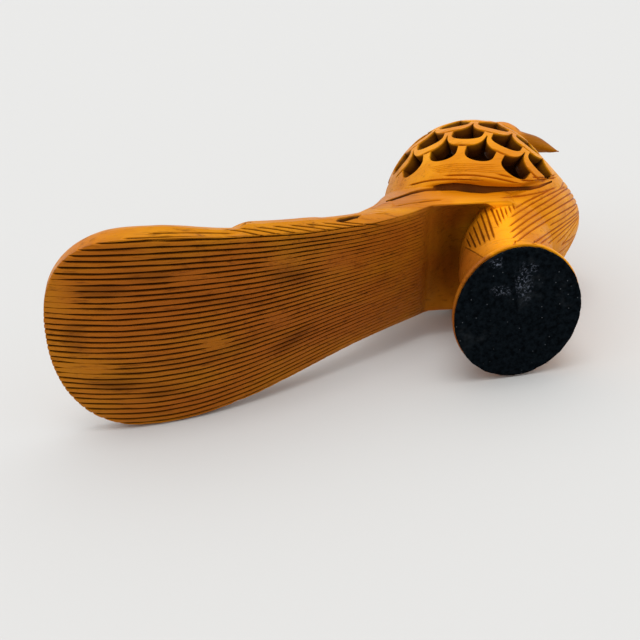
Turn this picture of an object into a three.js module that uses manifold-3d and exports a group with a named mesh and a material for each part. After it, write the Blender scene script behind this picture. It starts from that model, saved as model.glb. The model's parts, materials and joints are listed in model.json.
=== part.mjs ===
// A carved wooden peacock with a pierced mantle, standing on a felt-covered foot.
// Millimetres, +Z up. The origin is the middle of the felt pad's underside.
// The bird faces +X, and its right side is towards -Y.
import * as THREE from 'three';
import { LoftGeometry } from 'three/addons/geometries/LoftGeometry.js';
import { mergeVertices } from 'three/addons/utils/BufferGeometryUtils.js';
import Module from 'manifold-3d';

const wasm = await Module();
wasm.setup();

// Foot and felt pad
const FELT_THICKNESS = 1.2;
const FELT_HALF_LENGTH = 17.2;
const FELT_HALF_WIDTH = 19.8;
const TOUCH_GAP = 0.3;
const FOOT_BOTTOM = FELT_THICKNESS + TOUCH_GAP;
// Level ovals of foot and leg: [height, middle x, half length, half width]
const LEG_OVALS = [
  [FOOT_BOTTOM, 0, 17.2, 19.8],
  [FOOT_BOTTOM + 1.1, 0, 17.3, 19.9],
  [5.5, 0.3, 16.4, 17.4],
  [10, 1.0, 15.2, 14.6],
  [17, 2.45, 13.85, 12.3],
  [24, 3.45, 13.95, 12.8],
  [30, 4.85, 13.75, 14.8],
  [35, 6.15, 13.85, 16.5],
  [41, 8.6, 13.4, 17.0],
];
const LEG_SIDES = 20;

// Body: an egg whose rows of piercing run round an axis that leans towards the neck
const BODY_CENTRE = new THREE.Vector3(3.0, 0, 60.6);
const BODY_HALF = new THREE.Vector3(28.8, 29.4, 32.9);
const BODY_LEAN = 27;
const BREAST_SWELL = 3.2;
const BREAST_SWELL_WIDTH = 22;
const SHOULDER_HOLLOW = 2.0;
const SHOULDER_HOLLOW_WIDTH = 24;
const BREAST_FRONT = new THREE.Vector3(0.985, 0, -0.174);
const SHOULDER = new THREE.Vector3(0.75, 0.66, 0.05).normalize();
// Columns of the body's surface on each side, closer where the rim drops
const SIDE_AZIMUTHS = [14, 26, 35, 43, 52, 64, 80, 96, 112, 128, 146, 164];
// Rows of its surface: shares of the way up to the rim, degrees from the rim, and shares above it
const BELLY_ROWS = [0.05, 0.2, 0.36, 0.52, 0.68, 0.84];
const RIM_ROWS = [-9.6, -7, -4.6, -2.2, 1.2];
const BACK_ROWS = [0.17, 0.34, 0.51, 0.7, 0.92];

// Mantle: the pierced cap over back and flanks, with a deep furrow under its rim
const RIM_LATITUDES = [[0, 30], [30, 8], [39, -11], [52, -34], [77, -44], [108, -48], [150, -42], [180, -32]];
const FURROW_DEPTH = 3.6;
const BELLY_STEP = 1.6;
const FURROW_FADE_IN = [34, 56];
const FURROW_FADE_OUT = [150, 178];
const FURROW_MIDDLE = -5;
const FURROW_HALF_WIDTH = 4.6;
const WALL = 4.6;
const ROOF_EXTRA = 9;
const CAVITY_LATITUDES = [-37, -20, -3, 14, 31, 48, 66, 84];
const CAVITY_SIDES = 16;

// Piercing: staggered rows of holes, between U-shaped bars that hang in rows like scales
const HOLE_COLUMNS = 15;
const ROW_SPACING = 16.4;
const HOLE_ROWS = [
  { latitude: -27, half: false, nearest: 60, furthest: 133 },
  { latitude: -10.5, half: true, nearest: 47, furthest: 180 },
  { latitude: 6, half: false, nearest: 59, furthest: 180 },
  { latitude: 22, half: true, nearest: 71, furthest: 180 },
  { latitude: 37, half: false, nearest: 83, furthest: 180 },
];
// Sizes in shares of half the pitch across and of the row spacing up: a hole's lip, and the outside of a bar
const LIP_HALF = 0.76;
const LIP_BELOW = 0.355;
const BAR_HALF = 0.965;
const BAR_BELOW = 0.7;
const LIP_TURNS = [0, -60, -120, -180];
const BAR_TURNS = [0.75];
// A hole's cutter is wider outside than inside: [share of the radius, share of the outline]
const HOLE_TAPER = [[0.62, 0.92], [1.07, 1.06]];

// Tail: a long paddle, hollow-curved beneath, with grooves that fan out from the root
const TAIL_LOW_X = -99;
const TAIL_TIP_X = -122.5;
const TAIL_ROOT_X = -17.2;
const TAIL_CURVE = 60;
const TAIL_RISE = 0.84;
const TAIL_CLEARANCE = 0.1;
const TAIL_CROWN = 0.8;
const TAIL_ROOT_HALF = 17.4;
const TAIL_ROOT_SAG = 2.5;
const TAIL_PADDLE_HALF = 27.7;
const TAIL_END_ROUNDNESS = 2.4;
const TAIL_END_STEPS = 14;
const TAIL_END_THINNING = [0.4, -100];
const FAN_FROM = -24;
const BELLY_NARROWING = 14;
const NARROWING_SPAN = [4, 22];
const GROOVES = 34;
const GROOVE_DEPTH = 0.6;
const BEVEL_OUT = 1.8;
const BEVEL_UP = 3.9;
const EDGE_OUT = 0.7;
const CUTTER_REACH = 60;
const TAIL_THICKNESS = 5.6;
const TAIL_TOP_CROWN = 2.4;
const RUMP_RISE = 34;
const RUMP_SHOULDER = 0.18;
const ROOT_EXTRA = 4;
// Stations along the tail, and where its root runs on under the belly
const TAIL_STATIONS = [-125, -114, -102, -88, -73, -58, -44, -34, -26, TAIL_ROOT_X];
const ROOT_STATIONS = [-9, 4, 10, 16];
const TOP_FACETS = 8;
const BOARD_SPARE = 2.5;

// Train: two raised layers of feathers on top of the tail, with rounded ends, that level out towards the rump
const TRAIN_LAYERS = [
  { sideEnd: -69.0, middleEnd: -85, lift: 2.6, inset: 0.9, levelFrom: -54, levelTo: -40 },
  { sideEnd: -42.5, middleEnd: -58, lift: 4.6, inset: 3.6, levelFrom: -44, levelTo: -28 },
];

const TRAIN_BURIED = 3;

// Hollow between tail root and leg: its stations, and how much deeper it is than the tail's underside
const HOLLOW_STATIONS = [-21, -17.5, -14, -10.5, -7, -3, 1.5, 6];
const HOLLOW_FULL = -5;
const HOLLOW_DEPTH = 9.5;
const HOLLOW_RIM = 0.5;
const HOLLOW_NARROWING = 5;
const HOLLOW_SHARES = [-1, -0.8, -0.45, 0, 0.45, 0.8, 1];
const HOLLOW_SQUARENESS = 4;
const HOLLOW_FLOOR = 12;

// Neck, head, beak and crest
const NECK_SPINE = [[11, 78], [18.5, 91], [19.5, 104], [20.0, 114], [24.5, 121]];
const NECK_RADII = [15, 11.2, 7.6, 6.1, 6.2];
const HEAD_CENTRE = new THREE.Vector3(27.5, 0, 122);
const HEAD_HALF = new THREE.Vector3(8.6, 6.9, 7.6);
const BEAK_TIP = new THREE.Vector3(46.2, 0, 108.6);
const BEAK_HALF_WIDTH = 5.2;
const BEAK_HALF_HEIGHT = 5.6;
const BEAK_ARCH = 2.2;
const CREST_ROOT = new THREE.Vector3(22.5, 0, 126);
const CREST_LENGTH = 9.5;
const CREST_SWEEP = [88, 160];
const CREST_TUFTS = 4;
const CREST_THICKNESS = 2.6;

const radians = THREE.MathUtils.degToRad;
const smooth = THREE.MathUtils.smoothstep;
const lerp = THREE.MathUtils.lerp;

// Directions seen from the middle of the body
const AXIS = new THREE.Vector3(Math.sin(radians(BODY_LEAN)), 0, Math.cos(radians(BODY_LEAN)));
const AHEAD = new THREE.Vector3(Math.cos(radians(BODY_LEAN)), 0, -Math.sin(radians(BODY_LEAN)));
const RIGHT = new THREE.Vector3(0, -1, 0);

function heading(azimuth, latitude) {
  const a = radians(azimuth);
  const b = radians(latitude);
  return new THREE.Vector3()
    .addScaledVector(AHEAD, Math.cos(b) * Math.cos(a))
    .addScaledVector(RIGHT, Math.cos(b) * Math.sin(a))
    .addScaledVector(AXIS, Math.sin(b));
}

// A smooth hump of the given width in degrees round one heading
function hump(direction, towards, width) {
  const angle = THREE.MathUtils.radToDeg(direction.angleTo(towards));
  return Math.exp(-((angle / width) ** 2));
}

function eggRadius(direction) {
  const { x, y, z } = BODY_HALF;
  return 1 / Math.hypot(direction.x / x, direction.y / y, direction.z / z);
}

function bodyRadius(direction) {
  const shoulder = SHOULDER.clone().setY(Math.sign(direction.y) * SHOULDER.y);
  return eggRadius(direction)
    + BREAST_SWELL * hump(direction, BREAST_FRONT, BREAST_SWELL_WIDTH)
    - SHOULDER_HOLLOW * hump(direction, shoulder, SHOULDER_HOLLOW_WIDTH);
}

// Value at x of a smooth line through [x, y] pairs
function through(pairs, x) {
  const last = pairs.length - 1;
  if (x <= pairs[0][0]) return pairs[0][1];
  if (x >= pairs[last][0]) return pairs[last][1];
  const i = pairs.findIndex((pair) => pair[0] > x) - 1;
  const slope = (k) => {
    const a = pairs[Math.max(k - 1, 0)];
    const b = pairs[Math.min(k + 1, last)];
    return (b[1] - a[1]) / (b[0] - a[0]);
  };
  const span = pairs[i + 1][0] - pairs[i][0];
  const t = (x - pairs[i][0]) / span;
  const rise = t * t * (3 - 2 * t);
  return lerp(pairs[i][1], pairs[i + 1][1], rise)
    + span * (slope(i) * t * (1 - t) ** 2 - slope(i + 1) * t * t * (1 - t));
}

function rimLatitude(azimuth) {
  return through(RIM_LATITUDES, Math.abs(azimuth));
}

// How far the surface lies in from the egg, at an angle below (-) or above (+) the rim
function furrow(above, azimuth) {
  const side = Math.abs(azimuth);
  const reach = smooth(side, ...FURROW_FADE_IN) * (1 - smooth(side, ...FURROW_FADE_OUT));
  const belly = BELLY_STEP * (1 - smooth(above, -3, 1));
  const from = (above - FURROW_MIDDLE) / FURROW_HALF_WIDTH;
  const cut = (FURROW_DEPTH - BELLY_STEP) * Math.max(0, 1 - from ** 2);
  return reach * (belly + cut);
}

function middleOf(points) {
  return points.reduce((sum, point) => sum.add(point), new THREE.Vector3()).divideScalar(points.length);
}

// Twice the area vector of a ring, which points to the side that sees it run anticlockwise
function turnOf(points) {
  const middle = middleOf(points);
  return points.reduce((sum, point, i) => {
    const next = points[(i + 1) % points.length];
    return sum.add(point.clone().sub(middle).cross(next.clone().sub(middle)));
  }, new THREE.Vector3());
}

// A closed solid through rings of points, whichever way round they run
function solid(sections) {
  const last = sections.length - 1;
  const onward = middleOf(sections[last]).sub(middleOf(sections[0]));
  const ordered = turnOf(sections[0]).dot(onward) > 0 ? sections : sections.map((points) => [...points].reverse());
  const loft = new LoftGeometry(ordered, { capStart: true, capEnd: true });
  const bare = new THREE.BufferGeometry().setAttribute('position', loft.getAttribute('position'));
  bare.setIndex(loft.index);
  const merged = mergeVertices(bare, 1e-4);
  return new wasm.Manifold(new wasm.Mesh({
    numProp: 3,
    vertProperties: merged.attributes.position.array,
    triVerts: new Uint32Array(merged.index.array),
  }));
}

function ring(count, pointAt) {
  return Array.from({ length: count }, (_, i) => pointAt(i / count));
}

// Body with belly, furrow and mantle, before it is hollowed
function makeBody() {
  const azimuths = [180, ...SIDE_AZIMUTHS.toReversed(), 0, ...SIDE_AZIMUTHS.map((azimuth) => -azimuth)];
  const [lowest, highest] = [RIM_ROWS[0], RIM_ROWS.at(-1)];
  const pointAt = (azimuth, latitude, rim) => {
    const direction = heading(azimuth, latitude);
    const radius = bodyRadius(direction) - furrow(latitude - rim, azimuth);
    return direction.multiplyScalar(radius).add(BODY_CENTRE);
  };
  const row = (latitudeAt) => azimuths.map((azimuth) => {
    const rim = rimLatitude(azimuth);
    return pointAt(azimuth, latitudeAt(rim), rim);
  });
  return solid([
    ...BELLY_ROWS.map((t) => row((rim) => lerp(-90, rim + lowest, t))),
    ...RIM_ROWS.map((step) => row((rim) => rim + step)),
    ...BACK_ROWS.map((t) => row((rim) => lerp(rim + highest, 90, t))),
  ]);
}

// Room inside the mantle, with a flat floor square to the body's axis
function makeCavity() {
  return solid(CAVITY_LATITUDES.map((latitude) => ring(CAVITY_SIDES, (t) => {
    const direction = heading(360 * t, latitude);
    const wall = WALL + ROOF_EXTRA * smooth(latitude, 45, 75);
    return direction.multiplyScalar(bodyRadius(direction) - wall).add(BODY_CENTRE);
  })));
}

// Outline of a hole as [across, up] shares: a round lip, and above it a slit between two bars of the next row
function holeOutline() {
  const lip = LIP_TURNS.map((turn) => [LIP_HALF * Math.cos(radians(turn)), LIP_BELOW * Math.sin(radians(turn))]);
  const shoulder = Math.acos((1 - LIP_HALF) / BAR_HALF);
  const bar = [shoulder, ...BAR_TURNS].map((turn) => [1 - BAR_HALF * Math.cos(turn), 1 - BAR_BELOW * Math.sin(turn)]);
  return [...lip, ...bar.map(([across, up]) => [-across, up]), [0, 1], ...bar.toReversed()];
}

function makeHole(azimuth, latitude) {
  return solid(HOLE_TAPER.map(([reach, widen]) => holeOutline().map(([across, up]) => {
    const direction = heading(azimuth + across * widen * (180 / HOLE_COLUMNS), latitude + up * widen * ROW_SPACING);
    return direction.multiplyScalar(bodyRadius(direction) * reach).add(BODY_CENTRE);
  })));
}

function holePlaces() {
  const pitch = 360 / HOLE_COLUMNS;
  return HOLE_ROWS.flatMap(({ latitude, half, nearest, furthest }) => {
    const places = [];
    for (let azimuth = 180 - (half ? pitch / 2 : 0); azimuth >= nearest; azimuth -= pitch) {
      if (azimuth > furthest) continue;
      places.push([azimuth, latitude]);
      if (azimuth < 180) places.push([-azimuth, latitude]);
    }
    return places;
  });
}

// Height of the tail's underside along its middle; at the root it runs level into the belly
function tailUnderside(x) {
  const sweep = (at) => TAIL_RISE * (Math.hypot(at - TAIL_LOW_X, TAIL_CURVE) - TAIL_CURVE);
  return TAIL_CLEARANCE + sweep(Math.min(x, TAIL_ROOT_X)) - TAIL_ROOT_SAG * smooth(x, -55, TAIL_ROOT_X);
}

// Half the width that the grooves fan out to, before the end is rounded off
function tailFan(x) {
  const narrowing = BELLY_NARROWING * smooth(x, ...NARROWING_SPAN);
  return lerp(TAIL_ROOT_HALF, TAIL_PADDLE_HALF, smooth(-x, -FAN_FROM, -TAIL_LOW_X)) - narrowing;
}

function tailTop(x, across) {
  const [thinnest, fullFrom] = TAIL_END_THINNING;
  const taper = lerp(thinnest, 1, smooth(x, TAIL_TIP_X, fullFrom));
  const side = TAIL_THICKNESS * taper + ROOT_EXTRA * smooth(x, -42, -22);
  const slope = Math.max(0, 1 - across * across);
  const crown = TAIL_TOP_CROWN * taper * Math.sqrt(slope);
  const rump = RUMP_RISE * smooth(x, -46, -24) * Math.max(0, slope - RUMP_SHOULDER);
  return tailUnderside(x) + TAIL_CROWN + side + crown + rump;
}

// Tail stock before its outline is cut: a bent board that is grooved beneath
function makeGroovedBoard() {
  return solid(TAIL_STATIONS.map((x) => {
    const half = tailFan(x);
    const beneath = Array.from({ length: 2 * GROOVES + 1 }, (_, i) => {
      const u = i / GROOVES - 1;
      const cut = i % 2 ? GROOVE_DEPTH : 0;
      return new THREE.Vector3(x, half * u, tailUnderside(x) + TAIL_CROWN * u * u + cut);
    });
    const edgeZ = tailUnderside(x) + TAIL_CROWN;
    return [
      new THREE.Vector3(x, -half - BOARD_SPARE, edgeZ),
      ...beneath,
      new THREE.Vector3(x, half + BOARD_SPARE, edgeZ),
      ...boardTop(x),
    ];
  }));
}

function boardTop(x, lift = 0) {
  const half = tailFan(x) + BOARD_SPARE;
  return Array.from({ length: TOP_FACETS + 1 }, (_, i) => {
    const u = Math.cos(Math.PI * (i / TOP_FACETS));
    return new THREE.Vector3(x, half * u, tailTop(x, u) + lift);
  });
}

// The same stock without grooves, for the root and the train
function makePlainBoard(stations, bottom, liftAt) {
  return solid(stations.map((x) => {
    const half = tailFan(x) + BOARD_SPARE;
    const beneath = [-1, 0, 1].map((u) => (
      new THREE.Vector3(x, half * u, tailUnderside(x) + TAIL_CROWN * u * u + bottom)));
    return [...beneath, ...boardTop(x, liftAt(x))];
  }));
}

// Plan outline of the tail, or of a train layer, from the right root round the end
function planOutline(endX, shoulderX, spread, roundness) {
  const stations = [...TAIL_STATIONS, ...ROOT_STATIONS].filter((x) => x > shoulderX + 1);
  const right = stations.reverse().map((x) => [x, -tailFan(x) - spread]);
  const half = tailFan(shoulderX) + spread;
  const power = 2 / roundness;
  const end = Array.from({ length: TAIL_END_STEPS + 1 }, (_, i) => {
    const angle = Math.PI * (i / TAIL_END_STEPS - 0.5);
    const sine = Math.sin(angle);
    return [
      shoulderX - (shoulderX - endX) * Math.cos(angle) ** power,
      half * Math.sign(sine) * Math.abs(sine) ** power,
    ];
  });
  return [...right, ...end, ...right.map(([x, y]) => [x, -y]).reverse()];
}

// Upright cutter that follows a plan outline, at heights above the tail's underside
function makeCutter(outlineAt, heights) {
  return solid(heights.map((height, i) => outlineAt(i).map(([x, y]) => (
    new THREE.Vector3(x, y, tailUnderside(x) + height)))));
}

function makeTail() {
  const bevelTop = TAIL_CROWN + BEVEL_UP;
  const spreads = [0, 0, BEVEL_OUT, EDGE_OUT, EDGE_OUT];
  const heights = [-CUTTER_REACH, TAIL_CROWN, bevelTop, bevelTop + 3, CUTTER_REACH];
  const bevelAt = (x) => smooth(x, -118, -94) * lerp(1, 0.4, smooth(x, -60, -20));
  const whole = planOutline(TAIL_TIP_X, TAIL_LOW_X, 0, TAIL_END_ROUNDNESS);
  const paddle = makeCutter((i) => whole.map(([x, y]) => (
    [x, y + Math.sign(y) * spreads[i] * bevelAt(x)])), heights);
  const rootStock = makePlainBoard([...TAIL_STATIONS.slice(-2), ...ROOT_STATIONS], GROOVE_DEPTH, () => 0);
  let tail = makeGroovedBoard().add(rootStock).intersect(paddle);
  for (const { sideEnd, middleEnd, lift, inset, levelFrom, levelTo } of TRAIN_LAYERS) {
    const plan = planOutline(middleEnd, sideEnd, EDGE_OUT - inset, 2);
    const liftAt = (x) => lift * (1 - smooth(x, levelFrom, levelTo));
    const stock = makePlainBoard([...TAIL_STATIONS.slice(2), ROOT_STATIONS[0]], TRAIN_BURIED, liftAt);
    tail = tail.add(stock.intersect(makeCutter(() => plan, [-CUTTER_REACH, CUTTER_REACH])));
  }
  return tail;
}

// Level oval ring of the foot and leg
function oval(x, z, halfLength, halfWidth, count) {
  return ring(count, (t) => new THREE.Vector3(
    x + halfLength * Math.cos(2 * Math.PI * t),
    halfWidth * Math.sin(2 * Math.PI * t),
    z,
  ));
}

function makeLeg() {
  return solid(LEG_OVALS.map(([z, x, halfLength, halfWidth]) => oval(x, z, halfLength, halfWidth, LEG_SIDES)));
}

// Ovoid stacked along Z and then turned
function ovoid(centre, half, rows, count, turn = new THREE.Euler()) {
  return solid(Array.from({ length: rows }, (_, i) => {
    const angle = Math.PI * ((i + 0.5) / rows);
    return ring(count, (t) => new THREE.Vector3(
      half.x * Math.sin(angle) * Math.cos(2 * Math.PI * t),
      half.y * Math.sin(angle) * Math.sin(2 * Math.PI * t),
      -half.z * Math.cos(angle),
    ).applyEuler(turn).add(centre));
  }));
}

// Cutter for the hollow between tail root and leg, whose ceiling leaves the tail's underside without an edge
function makeHollow() {
  const [start, end] = [HOLLOW_STATIONS[0], HOLLOW_STATIONS.at(-1)];
  return solid(HOLLOW_STATIONS.map((x) => {
    const half = tailFan(x) - HOLLOW_RIM - HOLLOW_NARROWING * smooth(x, HOLLOW_FULL, end);
    const depth = HOLLOW_DEPTH * smooth(x, start, HOLLOW_FULL);
    const ceiling = HOLLOW_SHARES.map((u) => {
      const raised = TAIL_CROWN * u * u + depth * (1 - Math.abs(u) ** HOLLOW_SQUARENESS);
      return new THREE.Vector3(x, half * u, tailUnderside(x) + raised);
    });
    return [...ceiling, new THREE.Vector3(x, half, HOLLOW_FLOOR), new THREE.Vector3(x, -half, HOLLOW_FLOOR)];
  }));
}

// Neck swept along a curve in the middle plane
function makeNeck() {
  const spine = new THREE.CatmullRomCurve3(NECK_SPINE.map(([x, z]) => new THREE.Vector3(x, 0, z)));
  const last = NECK_RADII.length - 1;
  const rows = 8;
  return solid(Array.from({ length: rows + 1 }, (_, i) => {
    const t = i / rows;
    const along = spine.getTangent(t);
    const across = new THREE.Vector3(-along.z, 0, along.x);
    const radius = through(NECK_RADII.map((size, k) => [k / last, size]), t);
    return ring(14, (s) => new THREE.Vector3(0, radius * Math.cos(2 * Math.PI * s), 0)
      .addScaledVector(across, radius * Math.sin(2 * Math.PI * s))
      .add(spine.getPoint(t)));
  }));
}

function makeHead() {
  const reach = BEAK_TIP.clone().sub(HEAD_CENTRE);
  const along = reach.clone().normalize();
  const over = new THREE.Vector3(-along.z, 0, along.x);
  const turn = new THREE.Euler(0, Math.atan2(-along.z, along.x), 0);
  const skull = ovoid(HEAD_CENTRE, HEAD_HALF, 8, 14, turn);
  const rows = 6;
  const beak = solid(Array.from({ length: rows + 1 }, (_, i) => {
    const t = i / rows;
    const taper = Math.max(0.06, (1 - t) ** 0.85);
    const arch = BEAK_ARCH * Math.sin(Math.PI * t) ** 2;
    return ring(10, (s) => new THREE.Vector3(0, BEAK_HALF_WIDTH * taper * Math.cos(2 * Math.PI * s), 0)
      .addScaledVector(over, BEAK_HALF_HEIGHT * taper * Math.sin(2 * Math.PI * s) + arch)
      .addScaledVector(reach, lerp(0.2, 1, t))
      .add(HEAD_CENTRE));
  }));
  return skull.add(beak);
}

// Crest: a low fan of tufts, swept back
function makeCrest() {
  const points = 4 * CREST_TUFTS;
  const fan = Array.from({ length: points + 1 }, (_, i) => {
    const angle = radians(lerp(...CREST_SWEEP, i / points));
    const reach = CREST_LENGTH * (0.9 + 0.1 * Math.abs(Math.sin(Math.PI * CREST_TUFTS * (i / points))));
    return [reach * Math.cos(angle), reach * Math.sin(angle)];
  });
  const outline = [[-2.5, -3], [2.5, -3], ...fan];
  return solid([-1, -0.5, 0.5, 1].map((side) => outline.map(([x, z]) => {
    const inward = Math.abs(side) > 0.6 ? 0.86 : 1;
    return new THREE.Vector3(x * inward, 0.5 * CREST_THICKNESS * side, z * inward).add(CREST_ROOT);
  })));
}

function meshOf(name, made, colour, roughness) {
  const { numProp, vertProperties, triVerts } = made.getMesh();
  const geometry = new THREE.BufferGeometry();
  const positions = new Float32Array((vertProperties.length / numProp) * 3);
  for (let i = 0; i < positions.length / 3; i += 1) {
    positions.set(vertProperties.subarray(i * numProp, i * numProp + 3), i * 3);
  }
  geometry.setAttribute('position', new THREE.BufferAttribute(positions, 3));
  geometry.setIndex(new THREE.BufferAttribute(new Uint32Array(triVerts), 1));
  geometry.computeVertexNormals();
  const mesh = new THREE.Mesh(geometry, new THREE.MeshStandardMaterial({ color: colour, roughness, metalness: 0 }));
  mesh.name = name;
  return mesh;
}

const holes = holePlaces().map((place) => makeHole(...place));
let bird = makeBody().add(makeTail()).subtract(makeHollow()).add(makeLeg());
bird = bird.add(makeNeck()).add(makeHead()).add(makeCrest()).subtract(makeCavity());
for (const hole of holes) bird = bird.subtract(hole);

const felt = solid([
  oval(0, 0, FELT_HALF_LENGTH, FELT_HALF_WIDTH, 36),
  oval(0, FELT_THICKNESS, FELT_HALF_LENGTH, FELT_HALF_WIDTH, 36),
]);

const peacock = new THREE.Group();
peacock.add(meshOf('peacock', bird, 0xc9720f, 0.5));
peacock.add(meshOf('felt_pad', felt, 0x0b0c0e, 0.95));
export default peacock;
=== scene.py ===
import json
import math

import bpy
import numpy as np
from mathutils import Matrix, Vector, noise
from mathutils.bvhtree import BVHTree

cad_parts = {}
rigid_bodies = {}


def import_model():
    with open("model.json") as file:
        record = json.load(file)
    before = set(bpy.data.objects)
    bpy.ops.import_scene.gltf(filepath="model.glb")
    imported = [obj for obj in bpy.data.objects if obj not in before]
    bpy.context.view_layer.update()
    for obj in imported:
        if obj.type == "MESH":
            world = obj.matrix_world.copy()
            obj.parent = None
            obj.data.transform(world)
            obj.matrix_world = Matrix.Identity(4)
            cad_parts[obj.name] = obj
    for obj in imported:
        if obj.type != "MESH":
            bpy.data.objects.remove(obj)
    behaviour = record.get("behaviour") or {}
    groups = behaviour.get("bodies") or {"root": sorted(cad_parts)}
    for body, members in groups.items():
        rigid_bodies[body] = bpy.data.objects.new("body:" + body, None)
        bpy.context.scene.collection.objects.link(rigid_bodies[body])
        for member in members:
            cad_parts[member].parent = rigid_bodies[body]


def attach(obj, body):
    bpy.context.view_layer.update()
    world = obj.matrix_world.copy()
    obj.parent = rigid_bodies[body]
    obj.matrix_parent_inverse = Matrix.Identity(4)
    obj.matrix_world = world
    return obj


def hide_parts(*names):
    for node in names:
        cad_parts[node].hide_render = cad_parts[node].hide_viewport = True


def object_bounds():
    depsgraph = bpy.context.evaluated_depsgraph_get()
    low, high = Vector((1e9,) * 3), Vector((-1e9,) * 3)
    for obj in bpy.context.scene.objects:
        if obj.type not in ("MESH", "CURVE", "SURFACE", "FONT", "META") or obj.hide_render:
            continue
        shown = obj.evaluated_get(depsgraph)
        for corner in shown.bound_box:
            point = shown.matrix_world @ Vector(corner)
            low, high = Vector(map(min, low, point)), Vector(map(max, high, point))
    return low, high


# Looks of a carved wooden peacock. Modelled in millimetres in the row frame, and scaled to metres at the end.
for leftover in list(bpy.data.objects):
    bpy.data.objects.remove(leftover)
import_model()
CAD_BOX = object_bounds()
MM = 0.001
BOX_MARGIN = 0.04
rng = np.random.default_rng(21)

# Body: an egg whose rows of piercing run round an axis that leans towards the neck
BODY_CENTRE = np.array([3.0, 0.0, 60.6])
BODY_HALF = np.array([28.8, 29.4, 32.9])
BODY_LEAN = math.radians(27)
BODY_POLE = 89
BREAST_SWELL = 3.2
BREAST_SWELL_WIDTH = 22
SHOULDER_HOLLOW = 2.0
SHOULDER_HOLLOW_WIDTH = 24
BREAST_FRONT = np.array([0.985, 0.0, -0.174])
SHOULDER = np.array([0.75, -0.66, 0.05])

# Mantle: the pierced cap, with a deep furrow under its rim
RIM_LATITUDES = [(0, 30), (30, 8), (39, -11), (52, -34), (77, -44), (108, -48), (150, -42), (180, -32)]
FURROW_DEPTH = 3.6
BELLY_STEP = 1.6
FURROW_MIDDLE = -5
FURROW_HALF_WIDTH = 4.6
WALL = 4.6
ROOF_EXTRA = 9
CAVITY_FROM = -37
CAVITY_TO = 84

# Piercing: (latitude, shifted by half a pitch, nearest azimuth, furthest azimuth)
HOLE_COLUMNS = 15
HOLE_ROWS = [
    (-27, False, 59, 133),
    (-10.5, True, 47, 180),
    (6, False, 59, 180),
    (22, True, 71, 180),
    (37, False, 83, 180),
]
# A hole's lip and the U-shaped bars above it: shares of half the pitch across, and of the row spacing up
LIP_HALF = 0.77
LIP_BELOW = 0.355
BAR_HALF = 0.965
BAR_BELOW = 0.70
LIP_SOFTNESS = 0.94
BAR_SOFTNESS = 0.80
ROW_SPACING = 16.4
# Rings of a hole's cutter from the inside out: (share of the body's radius, share of the outline)
HOLE_RINGS = [(0.62, 0.92), (0.9, 0.95), (0.975, 0.985), (1.0, 1.03), (1.06, 1.14)]
# Creases under the bars, with how many degrees they run to each side
CREASE_WIDTH = 1.1
CREASE_DEPTH = 0.7
CREASE_TURN = 32

# Tail: a paddle, hollow-curved beneath
TAIL_LOW_X = -99
TAIL_TIP_X = -122.5
TAIL_ROOT_X = -17.2
TAIL_CURVE = 60
TAIL_RISE = 0.84
TAIL_CLEARANCE = 0.1
TAIL_CROWN = 0.8
TAIL_ROOT_HALF = 17.4
TAIL_ROOT_SAG = 2.5
TAIL_PADDLE_HALF = 27.7
TAIL_END_ROUNDNESS = 2.4
END_STEPS = 30
TAIL_END_THINNING = (0.4, -100)
FAN_FROM = -24
BELLY_NARROWING = 14
NARROWING_FROM = 4
NARROWING_TO = 22
BEVEL_OUT = 1.8
BEVEL_UP = 3.9
EDGE_OUT = 0.7
TAIL_THICKNESS = 5.6
TAIL_TOP_CROWN = 2.4
BOARD_SPARE = 2.5
RUMP_RISE = 34
RUMP_SHOULDER = 0.18
ROOT_EXTRA = 4
ROOT_END = 16
GROOVES = 34
GROOVE_DEPTH = 0.85
GROOVE_WIDTH = 0.54
GROOVE_DRIFT = 0.2
GROOVE_UNEVENNESS = 0.3
# A worn dip in each side edge, just behind the train's first layer
SCOOP_DEPTH = 1.5
SCOOP_FROM = (-93, -73)
SCOOP_TO = (-72, -70.2)

# Train layers: (side end, middle end, lift, inset, levels out from, to)
TRAIN_LAYERS = [(-69.0, -85, 2.6, 0.9, -54, -40), (-42.5, -58, 4.6, 3.6, -44, -28)]
TRAIN_BURIED = 3

# Leg: level ovals as (height, middle x, half length, half width)
FOOT_BOTTOM = 1.5
FOOT_CHAMFER = 0.25
LEG_OVALS = [
    (FOOT_BOTTOM, 0, 17.2, 19.8),
    (FOOT_BOTTOM + 1.1, 0, 17.3, 19.9),
    (5.5, 0.3, 16.4, 17.4),
    (10, 1.0, 15.2, 14.6),
    (17, 2.45, 13.85, 12.3),
    (24, 3.45, 13.95, 12.8),
    (30, 4.85, 13.75, 14.8),
    (35, 6.15, 13.85, 16.5),
    (41, 8.6, 13.4, 17.0),
]
# Hollow between tail and leg: where it starts and ends, how much deeper than the tail's underside, its rim
HOLLOW_FROM = -21
HOLLOW_FULL = -5
HOLLOW_TO = 6
HOLLOW_DEPTH = 9.5
HOLLOW_SQUARENESS = 4
HOLLOW_RIM = 0.5
HOLLOW_NARROWING = 5
HOLLOW_OVERLAP = 0.02
HOLLOW_BELOW = 12

# Neck, head, beak and crest
NECK_SPINE = [(11, 78), (18.5, 91), (19.5, 104), (20.0, 114), (24.5, 121)]
NECK_RADII = [15, 11.2, 7.6, 6.1, 6.2]
HEAD_CENTRE = np.array([27.5, 0.0, 122.0])
HEAD_HALF = np.array([8.6, 6.9, 7.6])
BEAK_TIP = np.array([45.3, 0.0, 109.2])
BEAK_HALF_WIDTH = 5.2
BEAK_HALF_HEIGHT = 5.6
BEAK_ARCH = 2.2
CREST_ROOT = np.array([22.5, 0.0, 126.0])
CREST_LENGTH = 9.5
CREST_SWEEP = (88, 160)
CREST_TUFTS = 4
CREST_THICKNESS = 2.6

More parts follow.
